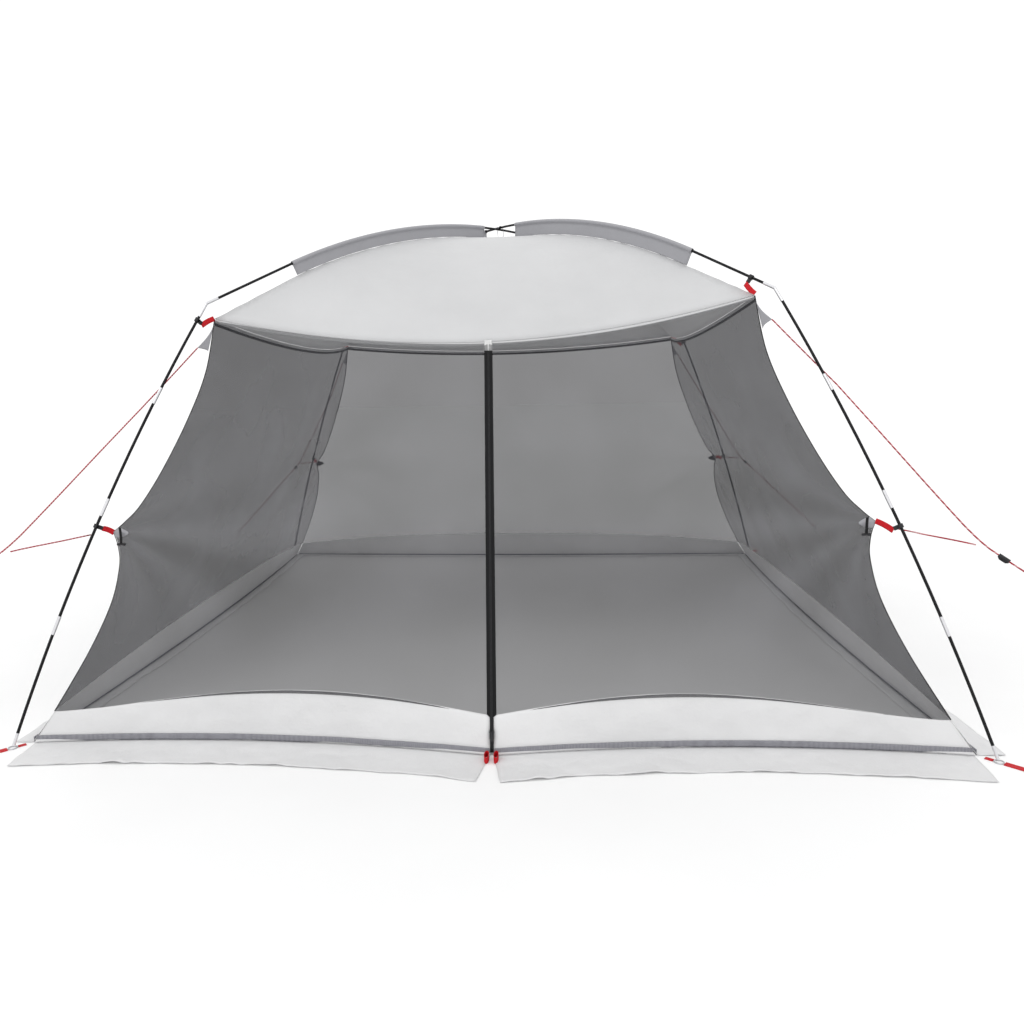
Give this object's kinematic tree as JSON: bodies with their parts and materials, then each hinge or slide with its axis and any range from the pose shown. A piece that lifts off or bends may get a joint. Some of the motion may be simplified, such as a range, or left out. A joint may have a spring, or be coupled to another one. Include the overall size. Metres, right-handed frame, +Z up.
{
  "type": "screen house",
  "caption": "Square mesh screen shelter on two crossing shock-corded poles, with a zipped front, ground skirts and guy ropes.",
  "frame": {"origin": "on the ground at the middle of the footprint, cords left out", "axes": "+X to the right seen from the door, +Y to the back, +Z up; the door is on the -Y side"},
  "size_m": [5.3194, 5.3194, 2.1669],
  "materials": {
    "pole_black": "satin black fibreglass",
    "metal_silver": "satin",
    "roof_cloth": "coated polyester, satin",
    "grey_cloth": "coated polyester, satin",
    "black_plastic": "moulded, matte",
    "red_webbing": "woven webbing",
    "mesh": "fine insect mesh",
    "band_cloth": "coated polyester, crinkled",
    "zip_tape": "woven tape with coil",
    "zip_metal": "painted die casting",
    "pull_tab": "moulded tab",
    "guy_rope": "braided red and white cord"
  },
  "bodies": {
    "house": {"leg_tubes_front_left": "pole_black", "leg_tubes_front_right": "pole_black", "leg_tubes_back_right": "pole_black", "leg_tubes_back_left": "pole_black", "foot_tips": "metal_silver", "pole_ferrules": "metal_silver", "pole_elbows": "metal_silver", "roof_pole_lower": "pole_black", "roof_pole_upper": "pole_black", "roof_front": "roof_cloth", "roof_right": "roof_cloth", "roof_back": "roof_cloth", "roof_left": "roof_cloth", "sleeve_front_left": "grey_cloth", "sleeve_front_right": "grey_cloth", "sleeve_back_right": "grey_cloth", "sleeve_back_left": "grey_cloth", "apex_tie": "grey_cloth", "pole_clips": "black_plastic", "red_straps": "red_webbing", "corner_patches": "grey_cloth", "wall_left": "mesh", "wall_right": "mesh", "wall_back": "mesh", "front_panel_left": "mesh", "front_panel_right": "mesh", "band_left": "band_cloth", "band_right": "band_cloth", "band_back": "band_cloth", "ground_skirts": "band_cloth", "foot_rings": "metal_silver", "foot_loops": "red_webbing", "guy_rope_front_left": "guy_rope", "guy_rope_front_right": "guy_rope", "guy_rope_back_right": "guy_rope", "guy_rope_back_left": "guy_rope", "lower_guy_front_left": "guy_rope", "lower_guy_front_right": "guy_rope", "lower_guy_back_right": "guy_rope", "lower_guy_back_left": "guy_rope", "guy_pegs": "metal_silver"},
    "door_flap_left": {"flap_mesh_left": "mesh", "flap_band_left": "band_cloth", "flap_skirt_left": "band_cloth", "zip_tape_left": "zip_tape", "peg_loop_left": "red_webbing"},
    "door_flap_right": {"flap_mesh_right": "mesh", "flap_band_right": "band_cloth", "flap_skirt_right": "band_cloth", "zip_tape_right": "zip_tape", "peg_loop_right": "red_webbing"},
    "slider": {"zip_slider": "zip_metal"},
    "pull": {"zip_pull": "pull_tab"},
    "tie_left": {"tie_back_left": "black_plastic"},
    "tie_right": {"tie_back_right": "black_plastic"},
    "line_slider_front_left": {"tensioner_front_left": "black_plastic"},
    "line_slider_front_right": {"tensioner_front_right": "black_plastic"},
    "line_slider_back_right": {"tensioner_back_right": "black_plastic"},
    "line_slider_back_left": {"tensioner_back_left": "black_plastic"}
  },
  "joints": [
    {"name": "door_left_open", "type": "hinge", "parent": "house", "child": "door_flap_left", "pos_m": [-1.71, -1.68, 0], "axis": [-0.7228, -0.2874, -0.6285], "range_deg": [0, 100]},
    {"name": "door_right_open", "type": "hinge", "parent": "house", "child": "door_flap_right", "pos_m": [1.74, -1.75, 0], "axis": [-0.7224, 0.3114, 0.6174], "range_deg": [0, 100]},
    {"name": "zip_run", "type": "slide", "parent": "door_flap_right", "child": "slider", "axis": [-0.0239, 0.4597, 0.8878], "range_m": [0, 1.5]},
    {"name": "pull_swing", "type": "hinge", "parent": "slider", "child": "pull", "pos_m": [0.03794, -1.73823, 0.07657], "axis": [-0.9996, 0, -0.0269], "range_deg": [0, 110]},
    {"name": "tie_left_swing", "type": "hinge", "parent": "house", "child": "tie_left", "pos_m": [-1.43705, -1.42373, 0.77382], "axis": [-1, 0, 0], "range_deg": [0, 120]},
    {"name": "tie_right_swing", "type": "hinge", "parent": "house", "child": "tie_right", "pos_m": [1.43015, -1.4637, 0.79752], "axis": [-1, 0, 0], "range_deg": [0, 120]},
    {"name": "tension_front_left", "type": "slide", "parent": "house", "child": "line_slider_front_left", "axis": [-0.6155, -0.6155, -0.4924], "range_m": [0, 0.25]},
    {"name": "tension_front_right", "type": "slide", "parent": "house", "child": "line_slider_front_right", "axis": [0.6155, -0.6155, -0.4924], "range_m": [0, 0.25]},
    {"name": "tension_back_right", "type": "slide", "parent": "house", "child": "line_slider_back_right", "axis": [0.6155, 0.6155, -0.4924], "range_m": [0, 0.25]},
    {"name": "tension_back_left", "type": "slide", "parent": "house", "child": "line_slider_back_left", "axis": [-0.6155, 0.6155, -0.4924], "range_m": [0, 0.25]}
  ]
}
